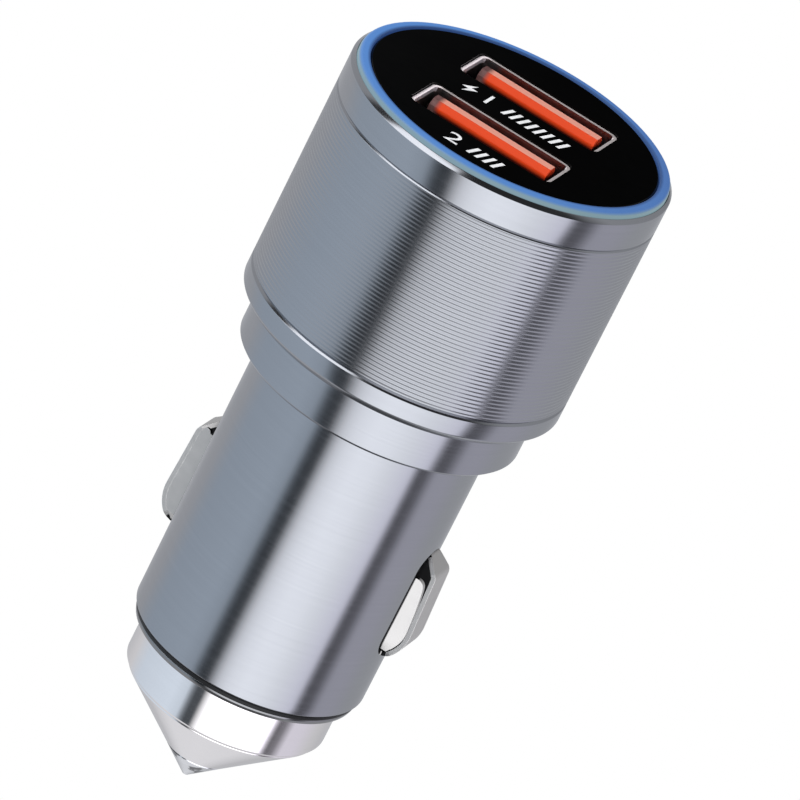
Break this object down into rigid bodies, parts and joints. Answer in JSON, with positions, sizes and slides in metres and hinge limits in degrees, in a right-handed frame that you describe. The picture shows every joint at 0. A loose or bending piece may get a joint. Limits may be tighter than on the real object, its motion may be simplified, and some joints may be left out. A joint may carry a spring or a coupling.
{
  "type": "car usb charger plug",
  "caption": "Round metal car charger plug: ribbed head with USB-A ports and a lit ring, slim barrel with sprung side contacts, pointed positive nose.",
  "frame": {"origin": "on the axis, at the shoulder under the neck that stops on the socket's rim", "axes": "+Z along the axis from nose to port face, +X through the right ground contact and along the ports"},
  "size_m": [0.028, 0.028, 0.0656],
  "materials": {
    "shell_metal": "fine turned, satin",
    "ring_blue": "translucent, frosted inside",
    "face_black": "polished",
    "port_steel": "nickel plated",
    "tongue_orange": "moulded",
    "terminal_gold": "gold plated",
    "contact_steel": "polished",
    "spring_steel": "bright",
    "washer_black": "satin",
    "nose_chrome": "polished",
    "tip_steel": "ground and polished",
    "core_black": "moulded",
    "board_green": "solder mask",
    "lamp_white": "clear lens",
    "chip_black": "moulded",
    "choke_grey": "ferrite",
    "can_metal": "sleeved can"
  },
  "bodies": {
    "charger": {"body_shell": "shell_metal", "light_ring": "ring_blue", "face_panel": "face_black", "usb_shell_rear": "port_steel", "usb_shell_front": "port_steel", "usb_tongue_rear": "tongue_orange", "usb_tongue_front": "tongue_orange", "usb_terminals_rear": "terminal_gold", "usb_terminals_front": "terminal_gold", "led_board": "board_green", "ring_leds": "lamp_white", "port_board": "board_green", "main_board": "board_green", "converter_chip": "chip_black", "inductor": "choke_grey", "rectifier_diode": "chip_black", "input_capacitor": "can_metal", "output_capacitor": "can_metal", "positive_strip": "terminal_gold", "inner_core": "core_black", "insulating_washer": "washer_black", "nose_cap": "nose_chrome", "strike_tip": "tip_steel", "contact_spring_left": "spring_steel", "contact_spring_right": "spring_steel"},
    "left_contact": {"ground_contact_left": "contact_steel"},
    "right_contact": {"ground_contact_right": "contact_steel"}
  },
  "joints": [
    {"name": "left_contact_press", "type": "slide", "parent": "charger", "child": "left_contact", "axis": [1, 0, 0], "range_m": [0, 0.0016], "stiffness_N_per_m": 800, "springref_m": -0.001, "deforming": ["contact_spring_left"]},
    {"name": "right_contact_press", "type": "slide", "parent": "charger", "child": "right_contact", "axis": [-1, 0, 0], "range_m": [0, 0.0016], "stiffness_N_per_m": 800, "springref_m": -0.001, "deforming": ["contact_spring_right"]}
  ]
}
